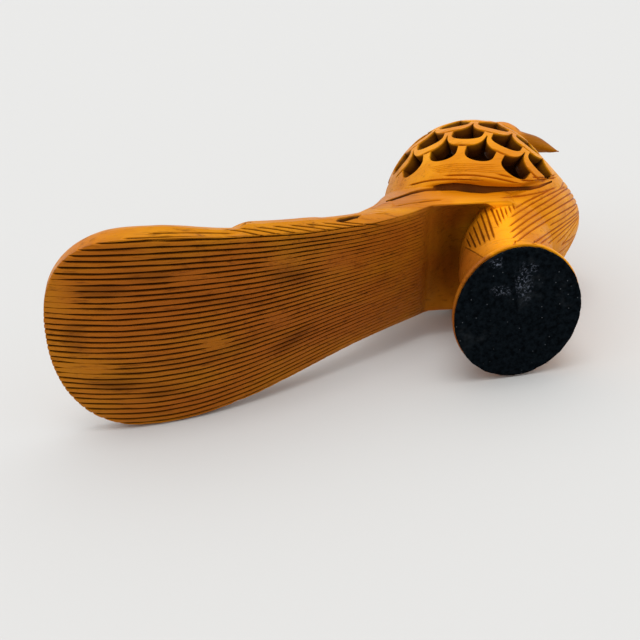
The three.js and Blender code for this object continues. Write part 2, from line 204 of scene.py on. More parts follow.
# The photograph's camera, in the row frame
CAMERA_AT = np.array([-75.89, -138.68, -226.53])
CAMERA_RIGHT = np.array([0.9940, 0.0102, -0.1093])
CAMERA_DOWN = np.array([-0.0649, 0.8578, -0.5099])
IMAGE_SIZE = 640
FOCAL_PIXELS = 1033.15
SENSOR_MM = 36


def unit(v):
    v = np.asarray(v, float)
    return v / np.linalg.norm(v, axis=-1, keepdims=True)


def camera_axes():
    """Right, down and forward as orthonormal rows."""
    right = unit(CAMERA_RIGHT)
    down = unit(CAMERA_DOWN - right * (CAMERA_DOWN @ right))
    return np.array([right, down, np.cross(right, down)])


AXES = camera_axes()


def smooth(x, low, high):
    t = np.clip((np.asarray(x, float) - low) / (high - low), 0, 1)
    return t * t * (3 - 2 * t)


def lerp(a, b, t):
    return a + (b - a) * t


def through(pairs, x):
    """Value at x of a smooth line through (x, y) pairs."""
    xs, ys = np.array(pairs, float).T
    slopes = np.empty_like(ys)
    slopes[0] = (ys[1] - ys[0]) / (xs[1] - xs[0])
    slopes[-1] = (ys[-1] - ys[-2]) / (xs[-1] - xs[-2])
    slopes[1:-1] = (ys[2:] - ys[:-2]) / (xs[2:] - xs[:-2])
    x = np.clip(np.asarray(x, float), xs[0], xs[-1])
    i = np.clip(np.searchsorted(xs, x, side="right") - 1, 0, len(xs) - 2)
    span = xs[i + 1] - xs[i]
    t = (x - xs[i]) / span
    rise = t * t * (3 - 2 * t)
    turn = slopes[i] * t * (1 - t) ** 2 - slopes[i + 1] * t * t * (1 - t)
    return lerp(ys[i], ys[i + 1], rise) + span * turn


def at_share(values, share):
    """Value at a share of the way along a smooth line through evenly spaced values."""
    return through(np.stack([np.linspace(0, 1, len(values)), values], axis=-1), share)


# Body

def heading(azimuth, latitude):
    """Direction from the body's middle. Azimuth 0 is ahead and 90 is to the bird's right."""
    a, b = np.radians(azimuth), np.radians(latitude)
    ahead = np.array([math.cos(BODY_LEAN), 0, -math.sin(BODY_LEAN)])
    right = np.array([0.0, -1.0, 0.0])
    axis = np.array([math.sin(BODY_LEAN), 0, math.cos(BODY_LEAN)])
    level = np.cos(b) * np.cos(a)
    side = np.cos(b) * np.sin(a)
    height = np.sin(b) * np.ones_like(level)
    return level[..., None] * ahead + side[..., None] * right + height[..., None] * axis


def hump(direction, towards, width):
    """A smooth hump of the given width in degrees round one heading."""
    angle = np.degrees(np.arccos(np.clip(direction @ unit(towards), -1, 1)))
    return np.exp(-((angle / width) ** 2))


def right_side(points):
    """Points brought over to the bird's right side, which the photograph shows."""
    return np.stack([points[..., 0], -np.abs(points[..., 1]), points[..., 2]], axis=-1)


def body_radius(direction):
    egg = 1 / np.linalg.norm(direction / BODY_HALF, axis=-1)
    swell = BREAST_SWELL * hump(direction, BREAST_FRONT, BREAST_SWELL_WIDTH)
    return egg + swell - SHOULDER_HOLLOW * hump(right_side(direction), SHOULDER, SHOULDER_HOLLOW_WIDTH)


def rim_latitude(azimuth):
    return through(RIM_LATITUDES, np.abs(azimuth))


def furrow(above, azimuth):
    """How far the surface lies in from the egg, at an angle below (-) or above (+) the rim."""
    side = np.abs(azimuth)
    reach = smooth(side, 34, 56) * (1 - smooth(side, 150, 178))
    belly = BELLY_STEP * (1 - smooth(above, -3, 1))
    start = (above - FURROW_MIDDLE) / FURROW_HALF_WIDTH
    cut = (FURROW_DEPTH - BELLY_STEP) * np.maximum(0, 1 - start**2)
    return reach * (belly + cut)


def on_body(azimuth, latitude, sunk):
    direction = heading(azimuth, latitude)
    return BODY_CENTRE + direction * (body_radius(direction) - sunk)[..., None]


# Meshes

def lofted(name, rings):
    """A closed object through rings of points (rows, columns, 3), facing out whichever way they run."""
    rings = np.asarray(rings, float)
    rows, columns = rings.shape[:2]
    points = np.vstack([rings.reshape(-1, 3), rings[0].mean(0), rings[-1].mean(0)])
    faces = []
    for r in range(rows - 1):
        for c in range(columns):
            d = (c + 1) % columns
            faces.append((r * columns + c, r * columns + d, (r + 1) * columns + d, (r + 1) * columns + c))
    first, last = rows * columns, rows * columns + 1
    for c in range(columns):
        d = (c + 1) % columns
        faces.append((c, first, d))
        faces.append(((rows - 1) * columns + c, (rows - 1) * columns + d, last))
    return facing_out(made_object(name, points, faces))


def made_object(name, points, faces):
    mesh = bpy.data.meshes.new(name)
    mesh.from_pydata([tuple(p) for p in points], [], faces)
    mesh.update()
    return placed(bpy.data.objects.new(name, mesh))


def placed(made):
    """Links a new object to the scene."""
    bpy.context.scene.collection.objects.link(made)
    return made


def facing_out(made):
    """Turns the faces round where the enclosed volume comes out negative."""
    mesh = made.data
    co = vertices(mesh)
    mesh.calc_loop_triangles()
    triangles = np.zeros(len(mesh.loop_triangles) * 3, int)
    mesh.loop_triangles.foreach_get("vertices", triangles)
    a, b, c = co[triangles.reshape(-1, 3)].transpose(1, 0, 2)
    if np.einsum("ij,ij->i", a, np.cross(b, c)).sum() < 0:
        mesh.flip_normals()
    return made


def vertices(mesh):
    co = np.zeros(len(mesh.vertices) * 3)
    mesh.vertices.foreach_get("co", co)
    return co.reshape(-1, 3)


def joined(name, objects):
    """One object from several that don't touch."""
    points, faces = [], []
    for made in objects:
        faces += [[len(points) + v for v in polygon.vertices] for polygon in made.data.polygons]
        points += list(vertices(made.data))
        bpy.data.objects.remove(made)
    return made_object(name, points, faces)


def carve(target, tool, operation="DIFFERENCE"):
    """Joins tool to target or cuts it away, and removes tool."""
    modifier = target.modifiers.new("carve", "BOOLEAN")
    modifier.operation = operation
    modifier.solver = "MANIFOLD"
    modifier.object = tool
    graph = bpy.context.evaluated_depsgraph_get()
    made = bpy.data.meshes.new_from_object(target.evaluated_get(graph))
    target.modifiers.clear()
    target.data = made
    bpy.data.objects.remove(tool)


def tree_of(made):
    graph = bpy.context.evaluated_depsgraph_get()
    return BVHTree.FromObject(made, graph)


def full_turn(steps):
    return np.linspace(0, 2 * math.pi, steps, endpoint=False)


def body_mesh():
    """Body with belly, furrow and mantle, before it is hollowed."""
    azimuths = np.linspace(180, -180, 200, endpoint=False)
    rim = rim_latitude(azimuths)
    low, high = -10, 2
    rows = [lerp(-BODY_POLE, rim + low, t) for t in np.linspace(0, 1, 44, endpoint=False)]
    rows += [rim + step for step in np.linspace(low, high, 22, endpoint=False)]
    rows += [lerp(rim + high, BODY_POLE, t) for t in np.linspace(0, 1, 56)]
    return lofted("body", [on_body(azimuths, row, furrow(row - rim, azimuths)) for row in rows])


def cavity_mesh():
    """The room inside the mantle, with a flat floor."""
    azimuths = np.linspace(0, 360, 90, endpoint=False)
    rings = []
    for latitude in np.linspace(CAVITY_FROM, CAVITY_TO, 40):
        wall = WALL + ROOF_EXTRA * smooth(latitude, 45, 75)
        rings.append(on_body(azimuths, np.full_like(azimuths, latitude), wall))
    return lofted("cavity", rings)


# Tail

def tail_underside(x):
    at = np.minimum(x, TAIL_ROOT_X)
    sweep = TAIL_RISE * (np.hypot(at - TAIL_LOW_X, TAIL_CURVE) - TAIL_CURVE)
    return TAIL_CLEARANCE + sweep - TAIL_ROOT_SAG * smooth(x, -55, TAIL_ROOT_X)


def tail_fan(x):
    narrowing = BELLY_NARROWING * smooth(x, NARROWING_FROM, NARROWING_TO)
    return lerp(TAIL_ROOT_HALF, TAIL_PADDLE_HALF, smooth(-x, -FAN_FROM, -TAIL_LOW_X)) - narrowing


def tail_top(x, across):
    thinnest, full_from = TAIL_END_THINNING
    taper = lerp(thinnest, 1, smooth(x, TAIL_TIP_X, full_from))
    side = TAIL_THICKNESS * taper + ROOT_EXTRA * smooth(x, -42, -22)
    slope = np.maximum(0, 1 - across * across)
    crown = TAIL_TOP_CROWN * taper * np.sqrt(slope)
    rump = RUMP_RISE * smooth(x, -46, -24) * np.maximum(0, slope - RUMP_SHOULDER)
    return tail_underside(x) + TAIL_CROWN + side + crown + rump


def end_stations(end_x, shoulder_x, roundness):
    """Stations round a rounded end as (x, share of the half width)."""
    angles = np.radians(np.linspace(1.5, 90, END_STEPS))
    power = 2 / roundness
    return [(shoulder_x - (shoulder_x - end_x) * math.cos(a) ** power, math.sin(a) ** power) for a in angles]


def tail_mesh():
    """The tail and its run under the belly, with a sloping bevel along each side."""
    stations = end_stations(TAIL_TIP_X, TAIL_LOW_X, TAIL_END_ROUNDNESS)
    stations += [(x, 1.0) for x in np.linspace(TAIL_LOW_X, ROOT_END, 72)[1:]]
    rings = []
    for x, share in stations:
        half = tail_fan(max(x, TAIL_LOW_X)) * share
        z = tail_underside(x)
        bevel = smooth(x, -118, -94) * lerp(1, 0.4, smooth(x, -60, -20))
        beneath = [(half * u, z + TAIL_CROWN * (half * u / tail_fan(x)) ** 2) for u in np.linspace(-1, 1, 37)]
        soft = min(0.45, half * 0.5)
        beneath[0] = (-half + soft * 0.15, beneath[0][1] + soft * 0.6)
        beneath[-1] = (half - soft * 0.15, beneath[-1][1] + soft * 0.6)
        wall = [
            (half + BEVEL_OUT * bevel * 0.5, z + TAIL_CROWN + BEVEL_UP * 0.5),
            (half + BEVEL_OUT * bevel * 0.92, z + TAIL_CROWN + BEVEL_UP * 0.9),
            (half + lerp(BEVEL_OUT, EDGE_OUT, 0.3) * bevel, z + TAIL_CROWN + BEVEL_UP + 0.9),
        ]
        worn_off = SCOOP_DEPTH * smooth(x, *SCOOP_FROM) * (1 - smooth(x, *SCOOP_TO))
        wall = [(y - worn_off, h) for y, h in wall]
        crest = half + EDGE_OUT * bevel - worn_off
        full = tail_fan(x) + BOARD_SPARE
        over = [(crest * u, tail_top(x, crest * u / full)) for u in np.cos(np.linspace(0, math.pi, 33))]
        lowest = z + TAIL_CROWN + 0.4
        wall = [(y, min(h, over[0][1] - 0.25 * (3 - i) - 0.1)) for i, (y, h) in enumerate(wall)]
        wall = [(y, max(h, lowest + 0.2 * i)) for i, (y, h) in enumerate(wall)]
        section = beneath + wall + over + [(-y, h) for y, h in reversed(wall)]
        rings.append([(x, y, h) for y, h in section])
    return lofted("tail", rings)


def hollow_mesh():
    """Tool for the hollow between tail and leg. Its ceiling leaves the tail's underside without an edge."""
    rings = []
    for x in np.linspace(HOLLOW_FROM, HOLLOW_TO, 60):
        half = tail_fan(x) - HOLLOW_RIM - HOLLOW_NARROWING * smooth(x, -2, HOLLOW_TO)
        across = np.linspace(-1, 1, 41)
        depth = HOLLOW_DEPTH * smooth(x, HOLLOW_FROM, HOLLOW_FULL)
        deeper = depth * (1 - np.abs(across) ** HOLLOW_SQUARENESS)
        ceiling = tail_underside(x) + TAIL_CROWN * across**2 + deeper - HOLLOW_OVERLAP
        top = [(x, half * u, z) for u, z in zip(across, ceiling)]
        rings.append(top + [(x, half * u, HOLLOW_BELOW) for u in across[::-1]])
    return lofted("hollow", rings)


def train_mesh(side_end, middle_end, lift, inset, level_from, level_to):
    """A raised layer of feathers on top of the tail, with a rounded end."""
    stations = end_stations(middle_end, side_end, 2)
    stations += [(x, 1.0) for x in np.linspace(side_end, -11, 40)[1:]]
    rings = []
    for x, share in stations:
        half = (tail_fan(max(x, side_end)) + EDGE_OUT - inset) * share
        full = tail_fan(x) + BOARD_SPARE
        raised = lift * (1 - smooth(x, level_from, level_to))
        bottom = [(half * u, tail_underside(x) + TRAIN_BURIED) for u in np.linspace(-1, 1, 9)]
        top = [[half * u, tail_top(x, half * u / full) + raised] for u in np.cos(np.linspace(0, math.pi, 29))]
        for edge in (0, -1):
            top[edge][1] -= 0.5
        rings.append([(x, y, h) for y, h in bottom + top])
    return lofted("train", rings)


# Leg, neck and head

def leg_mesh():
    ovals = np.array(LEG_OVALS)
    turn = full_turn(110)
    heights = [FOOT_BOTTOM, *np.linspace(FOOT_BOTTOM + FOOT_CHAMFER, ovals[-1, 0], 52)]
    rings = []
    for z in heights:
        middle, length, width = (through(ovals[:, [0, i]], z) for i in (1, 2, 3))
        inward = FOOT_CHAMFER if z == FOOT_BOTTOM else 0
        x = middle + (length - inward) * np.cos(turn)
        y = (width - inward) * np.sin(turn)
        rings.append(np.stack([x, y, np.full_like(turn, z)], axis=-1))
    return lofted("leg", rings)


def skull_mesh(pitch):
    """An ovoid stacked along Z, pitched about Y."""
    rows = 40
    turn = full_turn(64)
    cosine, sine = math.cos(pitch), math.sin(pitch)
    rings = []
    for a in math.pi * (np.arange(rows) + 0.5) / rows:
        x = HEAD_HALF[0] * math.sin(a) * np.cos(turn)
        y = HEAD_HALF[1] * math.sin(a) * np.sin(turn)
        z = np.full_like(turn, -HEAD_HALF[2] * math.cos(a))
        rings.append(np.stack([x * cosine + z * sine, y, z * cosine - x * sine], axis=-1) + HEAD_CENTRE)
    return lofted("skull", rings)


def neck_mesh():
    """The neck, swept along a curve in the middle plane."""
    xs, zs = np.array(NECK_SPINE).T
    turn = full_turn(64)
    step = 0.01
    rings = []
    for t in np.linspace(0, 1, 60):
        x, z, radius = (float(at_share(values, t)) for values in (xs, zs, NECK_RADII))
        ahead = [float(at_share(values, t + step) - at_share(values, t - step)) for values in (xs, zs)]
        along = unit([ahead[0], 0, ahead[1]])
        across = np.array([-along[2], 0, along[0]])
        ring = np.outer(np.cos(turn), [0, radius, 0]) + np.outer(np.sin(turn), across * radius)
        rings.append(ring + [x, 0, z])
    return lofted("neck", rings)


def head_meshes():
    reach = BEAK_TIP - HEAD_CENTRE
    along = unit(reach)
    over = np.array([-along[2], 0, along[0]])
    turn = full_turn(40)
    rings = []
    for t in np.linspace(0, 1, 36):
        taper = max(0.05, (1 - t) ** 0.85)
        arch = BEAK_ARCH * math.sin(math.pi * t) ** 2
        ring = np.outer(np.cos(turn), [0, BEAK_HALF_WIDTH * taper, 0])
        ring += np.outer(np.sin(turn) * BEAK_HALF_HEIGHT * taper + arch, over)
        rings.append(ring + reach * lerp(0.2, 1, t) + HEAD_CENTRE)
    return skull_mesh(math.atan2(-along[2], along[0])), lofted("beak", rings)


def crest_mesh():
    """A low fan of tufts, swept back."""
    points = 16 * CREST_TUFTS
    fan = []
    for i in range(points + 1):
        angle = math.radians(lerp(*CREST_SWEEP, i / points))
        reach = CREST_LENGTH * (0.88 + 0.12 * abs(math.sin(math.pi * CREST_TUFTS * i / points)) ** 0.7)
        fan.append((reach * math.cos(angle), reach * math.sin(angle)))
    outline = [(-2.5, -3), (2.5, -3)] + fan
    rings = []
    for side in (-1, -0.8, -0.4, 0, 0.4, 0.8, 1):
        inward = 1 - 0.14 * side**4
        rings.append([(x * inward, 0.5 * CREST_THICKNESS * side, z * inward) for x, z in outline])
    return lofted("crest", np.array(rings) + CREST_ROOT)


# Holes

def hole_outline():
    """A hole seen face on: a round lip, and above it a slit between two bars of the row above."""
    below = np.radians(np.linspace(0, 180, 21))
    across = np.copysign(np.abs(np.cos(below)) ** LIP_SOFTNESS, np.cos(below))
    lip = list(zip(LIP_HALF * across, -LIP_BELOW * np.abs(np.sin(below)) ** LIP_SOFTNESS))
    shoulder = math.acos(((1 - LIP_HALF) / BAR_HALF) ** (1 / BAR_SOFTNESS))
    turns = np.linspace(shoulder, 0.004, 14)
    arc = np.stack([np.cos(turns), np.sin(turns)], axis=-1)
    bar = 1 - arc**BAR_SOFTNESS * [BAR_HALF, BAR_BELOW]
    return np.vstack([lip, bar * [-1, 1], bar[::-1]])


def on_dome(azimuth, latitude, across, up, reach=1.0):
    """Points on the body from shares across and up from a hole's middle."""
    azimuths = azimuth + np.asarray(across, float) * 180 / HOLE_COLUMNS
    direction = heading(azimuths, latitude + np.asarray(up, float) * ROW_SPACING)
    return BODY_CENTRE + direction * (body_radius(direction) * reach)[..., None]


def hole_mesh(azimuth, latitude):
    """A hole's cutter, wider outside than inside."""
    across, up = hole_outline().T
    rings = [on_dome(azimuth, latitude, across * widen, up * widen, reach) for reach, widen in HOLE_RINGS]
    return lofted("hole", rings)


def crease_cuts():
    """Creases under the bars, where they overlap the posts of the row below."""
    cuts = []
    for azimuth, latitude in hole_places():
        if latitude < HOLE_ROWS[1][0]:
            continue
        turns = np.radians(np.linspace(-90 - CREASE_TURN, -90 + CREASE_TURN, 11))
        path = on_dome(azimuth, latitude, BAR_HALF * np.cos(turns), BAR_BELOW * np.sin(turns))
        shares = tapered(len(path))
        cuts.append(gouge(path, path - BODY_CENTRE, CREASE_WIDTH * shares, CREASE_DEPTH * shares))
    return cuts


def hole_places():
    """Middle of every hole as (azimuth, latitude)."""
    pitch = 360 / HOLE_COLUMNS
    places = []
    for latitude, half, nearest, furthest in HOLE_ROWS:
        azimuths = np.arange(180 - (pitch / 2 if half else 0), nearest, -pitch)
        for azimuth in azimuths[azimuths <= furthest]:
            places.append((azimuth, latitude))
            if azimuth < 180:
                places.append((-azimuth, latitude))
    return places


# Gouge cuts

GOUGE_LIFT = 0.35
CUT_GROUPS = 4
CUT_SPACING = 0.8
CUT_UNEVENNESS = 0.2


def gouge(path, normals, widths, depths):
    """A closed V-shaped cutter along a path on the surface. Its open side stands a little proud of it."""
    path, normals = np.asarray(path, float), unit(normals)
    along = unit(np.gradient(path, axis=0))
    side = unit(np.cross(normals, along))
    open_width = (widths * (GOUGE_LIFT + depths) / depths * 0.5)[:, None]
    top = path + normals * GOUGE_LIFT
    bottom = path - normals * depths[:, None]
    return lofted("gouge", np.stack([top - side * open_width, bottom, top + side * open_width], axis=1))


def tapered(count, ends=3):
    """Shares from 0 to 1 and back, that fade a cut in and out."""
    i = np.arange(count)
    return np.clip(np.minimum(i, count - 1 - i) / ends, 0.12, 1)


def wobble(count, size, reach, seed):
    """A slow random drift along a cut."""
    return np.array([noise.noise(Vector((i / reach, seed * 7.3, 0.5))) * size for i in range(count)])


def groove_start(share):
    """Where a groove starts past the rounded end, at a share of the half width."""
    bulge = (1 - abs(share) ** TAIL_END_ROUNDNESS) ** (1 / TAIL_END_ROUNDNESS)
    return TAIL_LOW_X - (TAIL_LOW_X - TAIL_TIP_X) * bulge - 1


def tail_grooves():
    """Grooves that fan out from the tail's root, shallower towards it and where the wood is worn."""
    cuts = []
    for k in range(GROOVES):
        share = (k + 0.5) / GROOVES * 2 - 1
        x = np.linspace(groove_start(share), TAIL_ROOT_X - rng.uniform(-0.4, 0.9), 84)
        drift = wobble(len(x), GROOVE_DRIFT, 9, k)
        fan = np.where(x < TAIL_LOW_X, tail_fan(TAIL_LOW_X), tail_fan(x))
        y = fan * share + drift
        z = tail_underside(x) + TAIL_CROWN * (y / fan) ** 2
        slope = np.gradient(z, x)
        normals = np.stack([slope, 2 * TAIL_CROWN * y / fan**2, -np.ones_like(x)], axis=-1)
        pitch = 2 * fan / GROOVES
        uneven = 1 + wobble(len(x), GROOVE_UNEVENNESS, 4, 50 + k)
        depths = GROOVE_DEPTH * uneven * lerp(0.55, 1, smooth(-x, 20, 60))
        path = np.stack([x, y, z], axis=-1)
        depths = np.maximum(0.03, depths * worn(path))
        widths = pitch * GROOVE_WIDTH * np.clip(depths / GROOVE_DEPTH, 0.25, 1.1)
        cuts.append(gouge(path, normals, widths, depths))
    return cuts


# Patches that show in the photograph, in its pixels: (x, y, half width, half height, share)
# Where the tail's underside is worn smooth
WORN_PATCHES = [
    (84, 369, 30, 7, 0.8), (216, 344, 16, 7, 0.8), (58, 296, 22, 20, 0.75), (284, 264, 20, 9, 0.6),
    (280, 320, 16, 10, 0.5), (190, 278, 30, 6, 0.5), (340, 262, 24, 14, 0.5),
]
# Where its wood is darker
DARK_PATCHES = [
    (100, 292, 34, 8, 0.5), (150, 276, 30, 7, 0.4), (150, 357, 26, 7, 0.5), (290, 276, 26, 11, 0.45),
    (292, 326, 32, 11, 0.5), (74, 335, 14, 14, 0.35), (385, 300, 12, 24, 0.45), (230, 300, 60, 8, 0.2),
]
# Where dust has settled on the felt
FELT_DUST = [(524, 283, 8, 17, 1), (501, 291, 9, 5, 1), (497, 263, 7, 5, 1), (533, 268, 5, 5, 1)]


def seen_at(points):
    """Where points in the row frame fall in the photograph."""
    local = (np.asarray(points, float) - CAMERA_AT) @ AXES.T
    return local[..., :2] / local[..., 2:] * FOCAL_PIXELS + IMAGE_SIZE / 2


def shares_of(patches, pixels, full_within, none_beyond):
    """Each patch's share at some pixels, fading out between two distances in half sizes of the patch."""
    for x, y, across, up, share in patches:
        away = np.hypot((pixels[:, 0] - x) / across, (pixels[:, 1] - y) / up)
        yield share * (1 - smooth(away, full_within, none_beyond))


def worn(points):
    """Share of a groove's depth that wear has left."""
    return np.prod([1 - share for share in shares_of(WORN_PATCHES, seen_at(points), 0.4, 1.35)], axis=0)


def darkened(pixels):
    return np.max(list(shares_of(DARK_PATCHES, pixels, 0.1, 1.4)), axis=0)


def felt_dust(points):
    return np.max(list(shares_of(FELT_DUST, seen_at(points), 0.1, 1.5)), axis=0)


def under_pixel(tree, pixel):
    """Point of the surface that shows at a pixel of the photograph, or None."""
    offset = (np.asarray(pixel, float) - IMAGE_SIZE / 2) / FOCAL_PIXELS
    ray = unit(AXES[0] * offset[0] + AXES[1] * offset[1] + AXES[2])
    point = tree.ray_cast(Vector(CAMERA_AT), Vector(ray))[0]
    return None if point is None else np.array(point)


def resampled(line, count):
    """Evenly spaced points on a smooth line through a few points."""
    places = np.linspace(0, 1, count)
    return np.stack([at_share(values, places) for values in np.asarray(line, float).T], axis=-1)


def family(keys, count):
    """Lines between key lines: {position: line}, all with the same number of points."""
    places = sorted(keys)
    lines = []
    for k in range(count):
        low = max(p for p in places if p <= k)
        high = min(p for p in places if p >= k)
        t = 0 if high == low else (k - low) / (high - low)
        lines.append(lerp(np.array(keys[low], float), np.array(keys[high], float), t))
    return lines


def surface_path(tree, line, onward):
    """The path on the surface under a line of pixels, carried on over the surface by some millimetres."""
    hits = [under_pixel(tree, pixel) for pixel in resampled(line, 24)]
    points = [hit for hit in hits if hit is not None]
    while onward > 0:
        step = unit(points[-1] - points[-3]) * CUT_SPACING
        point = np.array(tree.find_nearest(Vector(points[-1] + step))[0])
        if point[1] > -0.6 or np.linalg.norm(point - points[-1]) < 0.2 * CUT_SPACING:
            break
        points.append(point)
        onward -= CUT_SPACING
    points = np.array(points)
    length = np.linalg.norm(np.diff(points, axis=0), axis=1).sum()
    points = resampled(points, max(6, int(length / CUT_SPACING)))
    snapped = [tree.find_nearest(Vector(p)) for p in points]
    return np.array([s[0] for s in snapped]), np.array([s[1] for s in snapped])


def surface_cuts(tree, lines, width, depth, onward):
    """Gouge cuts under lines of pixels, and their mirror images on the bird's left."""
    cuts = []
    for line in lines:
        path, normals = surface_path(tree, line, onward)
        seed = float(line[0][0] + line[0][1])
        vary = 1 + wobble(len(path), CUT_UNEVENNESS, 5, seed)
        shares = tapered(len(path), 2) * vary
        for flip in (1, -1):
            mirror = np.array([1, flip, 1])
            cuts.append(gouge(path * mirror, normals * mirror, width * np.sqrt(shares), depth * shares))
    return cuts


# Lines of cuts as they show in the photograph, in pixels
THIGH_LOWER = {0: [(465.5, 238), (468, 243), (470.5, 248)], 1: [(468, 231), (472, 240), (476, 248.5)],
               5: [(484, 207), (489, 222), (494.5, 239)]}
THIGH_UPPER = {0: [(490, 206), (494, 216), (499, 228)], 3: [(504, 205), (506, 211), (508, 218)],
               5: [(512.5, 203), (514, 207), (515.5, 211)]}
BREAST_MIDDLE = {0: [(508, 227), (529, 212.5), (550, 200), (568, 188)],
                 3: [(512, 245), (531, 231), (551, 219), (572, 207)]}
BREAST_LOWER = {0: [(532, 244), (545, 235.5), (558, 227), (571, 218)],
                3: [(556, 244), (562, 238.5), (568, 232), (572, 227)]}
BREAST_SINGLE = [
    [(514, 209), (522, 204), (531, 199.5)],
    [(509, 218), (527, 207), (545, 197), (557, 191)],
    [(549, 226.5), (557, 222), (564, 218), (571, 212.5)],
    [(561, 246), (566, 240), (571, 233)],
    [(555, 192), (561, 188.5), (563.5, 183)],
]
RIM_LINES = [
    [(443, 175.5), (470, 175), (495, 178), (522, 184)],
    [(408, 185.5), (430, 180.5), (455, 179.3), (482, 181)],
    [(495, 173.5), (505, 175.5), (516, 178.5)],
    [(532, 177), (540, 177.5), (548, 177), (556, 174.5)],
    [(520, 180), (534, 180.5), (546, 179.5), (557, 177)],
]
MANTLE_LINES = {0: [(428, 168), (455, 164), (498, 165)], 4: [(434, 173), (465, 171), (505, 173.5)]}
BELLY_LINES = [
    [(394, 206.5), (410, 203.5), (428, 201), (445, 199.5)],
    [(500, 197.5), (520, 196), (540, 192.5), (558, 187)],
]
EDGE_LINES = [
    [(148, 233.5), (175, 232.8), (205, 232.8), (235, 233.5)],
    [(122, 238.5), (160, 237), (200, 236), (240, 237)],
    [(138, 240.5), (165, 239.5), (190, 239), (215, 239)],
]
BARBS = {0: [(222, 229), (243, 231.5), (268, 237)], 7: [(338, 221.5), (358, 223.5), (384, 225.5)]}
TRAIN_NOTCHES = [
    [(239, 227.5), (242, 225), (246, 223), (251, 222)],
    [(336, 221), (345, 219), (354, 216.5), (361, 215)],
]
# The crisp edge between two knife facets where the leg meets the foot; the lower facet is painted shade
KNIFE_EDGE = [(464, 247), (471, 250.5), (478, 254.5), (484, 258.5)]
ROOT_STROKES = {0: [(370, 213), (378, 213.5), (386, 214)], 2: [(374, 209), (382, 209.5), (390, 210)]}
# All of them, with their sizes in millimetres: (lines, width, depth, how far they run on over the surface)
SURFACE_CUTS = [
    (family(THIGH_LOWER, 6), 0.85, 0.5, 0),
    (family(THIGH_UPPER, 6), 0.8, 0.45, 0),
    (BREAST_SINGLE, 0.85, 0.34, 10),
    (family(BREAST_MIDDLE, 4), 0.85, 0.36, 14),
    (family(BREAST_LOWER, 4), 0.85, 0.36, 12),
    (RIM_LINES, 0.7, 0.45, 0),
    (family(MANTLE_LINES, 5), 0.4, 0.14, 0),
    (TRAIN_NOTCHES, 1.7, 0.9, 0),
    ([KNIFE_EDGE], 0.5, 0.25, 0),
    (BELLY_LINES, 0.8, 0.35, 0),
    (EDGE_LINES, 0.5, 0.3, 0),
    (family(BARBS, 8), 0.5, 0.35, 0),
    (family(ROOT_STROKES, 3), 0.4, 0.25, 0),
]
# The furrow's band under the mantle's rim, cut and given painted shade: (x, top, bottom), its depth, and how
# far its cutter stands out
FURROW_BAND = [
    (386, 199, 203), (400, 194, 198.5), (412, 190.5, 194.5), (425, 187.8, 191.5), (433, 185.6, 191),
    (441, 183.7, 191), (455, 182.5, 191), (470, 183.7, 193), (485, 185.7, 193.7), (500, 186.3, 192),
    (515, 186.7, 191), (530, 186, 190.5), (540, 184.3, 188), (552, 180.5, 182.5),
]
FURROW_FLOOR = 1.0
FURROW_FRONT = 2.2


# Felt pad

FELT_THICKNESS = 1.2
FELT_HALF_LENGTH = 17.2
FELT_HALF_WIDTH = 19.8
FELT_FUZZ = 2600
FIBRE_FACES = [
    (0, 1, 4, 3), (1, 2, 5, 4), (2, 0, 3, 5), (3, 4, 7, 6), (4, 5, 8, 7), (5, 3, 6, 8), (2, 1, 0), (6, 7, 8),
]


def felt_reach(turn):
    """Share of the full oval at an angle, with the small flats and nicks of a cut by hand."""
    ragged = [noise.noise(Vector((math.cos(a) * 5, math.sin(a) * 5, 2.0))) for a in turn]
    fine = [noise.noise(Vector((math.cos(a) * 19, math.sin(a) * 19, 7.0))) for a in turn]
    return 0.985 + 0.012 * np.array(ragged) + 0.006 * np.array(fine)


def felt_mesh():
    turn = full_turn(180)
    reach = felt_reach(turn)
    profile = [(share, 0.16) for share in np.linspace(0.03, 0.97, 40)]
    profile += [(0.99, 0.2), (1.0, 0.4), (1.0, 0.8), (0.985, FELT_THICKNESS - 0.04)]
    profile += [(share, FELT_THICKNESS - 0.01) for share in (0.9, 0.5, 0.1)]
    rings = []
    for share, z in profile:
        x = FELT_HALF_LENGTH * share * reach * np.cos(turn)
        y = FELT_HALF_WIDTH * share * reach * np.sin(turn)
        nap = [noise.noise(Vector((a * 0.7, b * 0.7, z))) * 0.12 for a, b in zip(x, y)]
        raised = np.array(nap) * (z < 0.19)
        rings.append(np.stack([x, y, np.maximum(0.03, z + raised)], axis=-1))
    return lofted("felt", rings)


def fibre(start, direction, bend, length, width):
    """A closed three-sided hair, that starts inside the felt."""
    along = unit(direction)
    side = unit(np.cross(along, [0.31, 0.17, 0.93]))
    over = np.cross(along, side)
    points = []
    for t in (0, 0.5, 1):
        middle = start + along * length * t + bend * length * t * t
        size = width * (1 - 0.75 * t)
        points += [middle + size * (side * math.cos(a) + over * math.sin(a)) for a in (0, 2.094, 4.189)]
    return np.array(points)


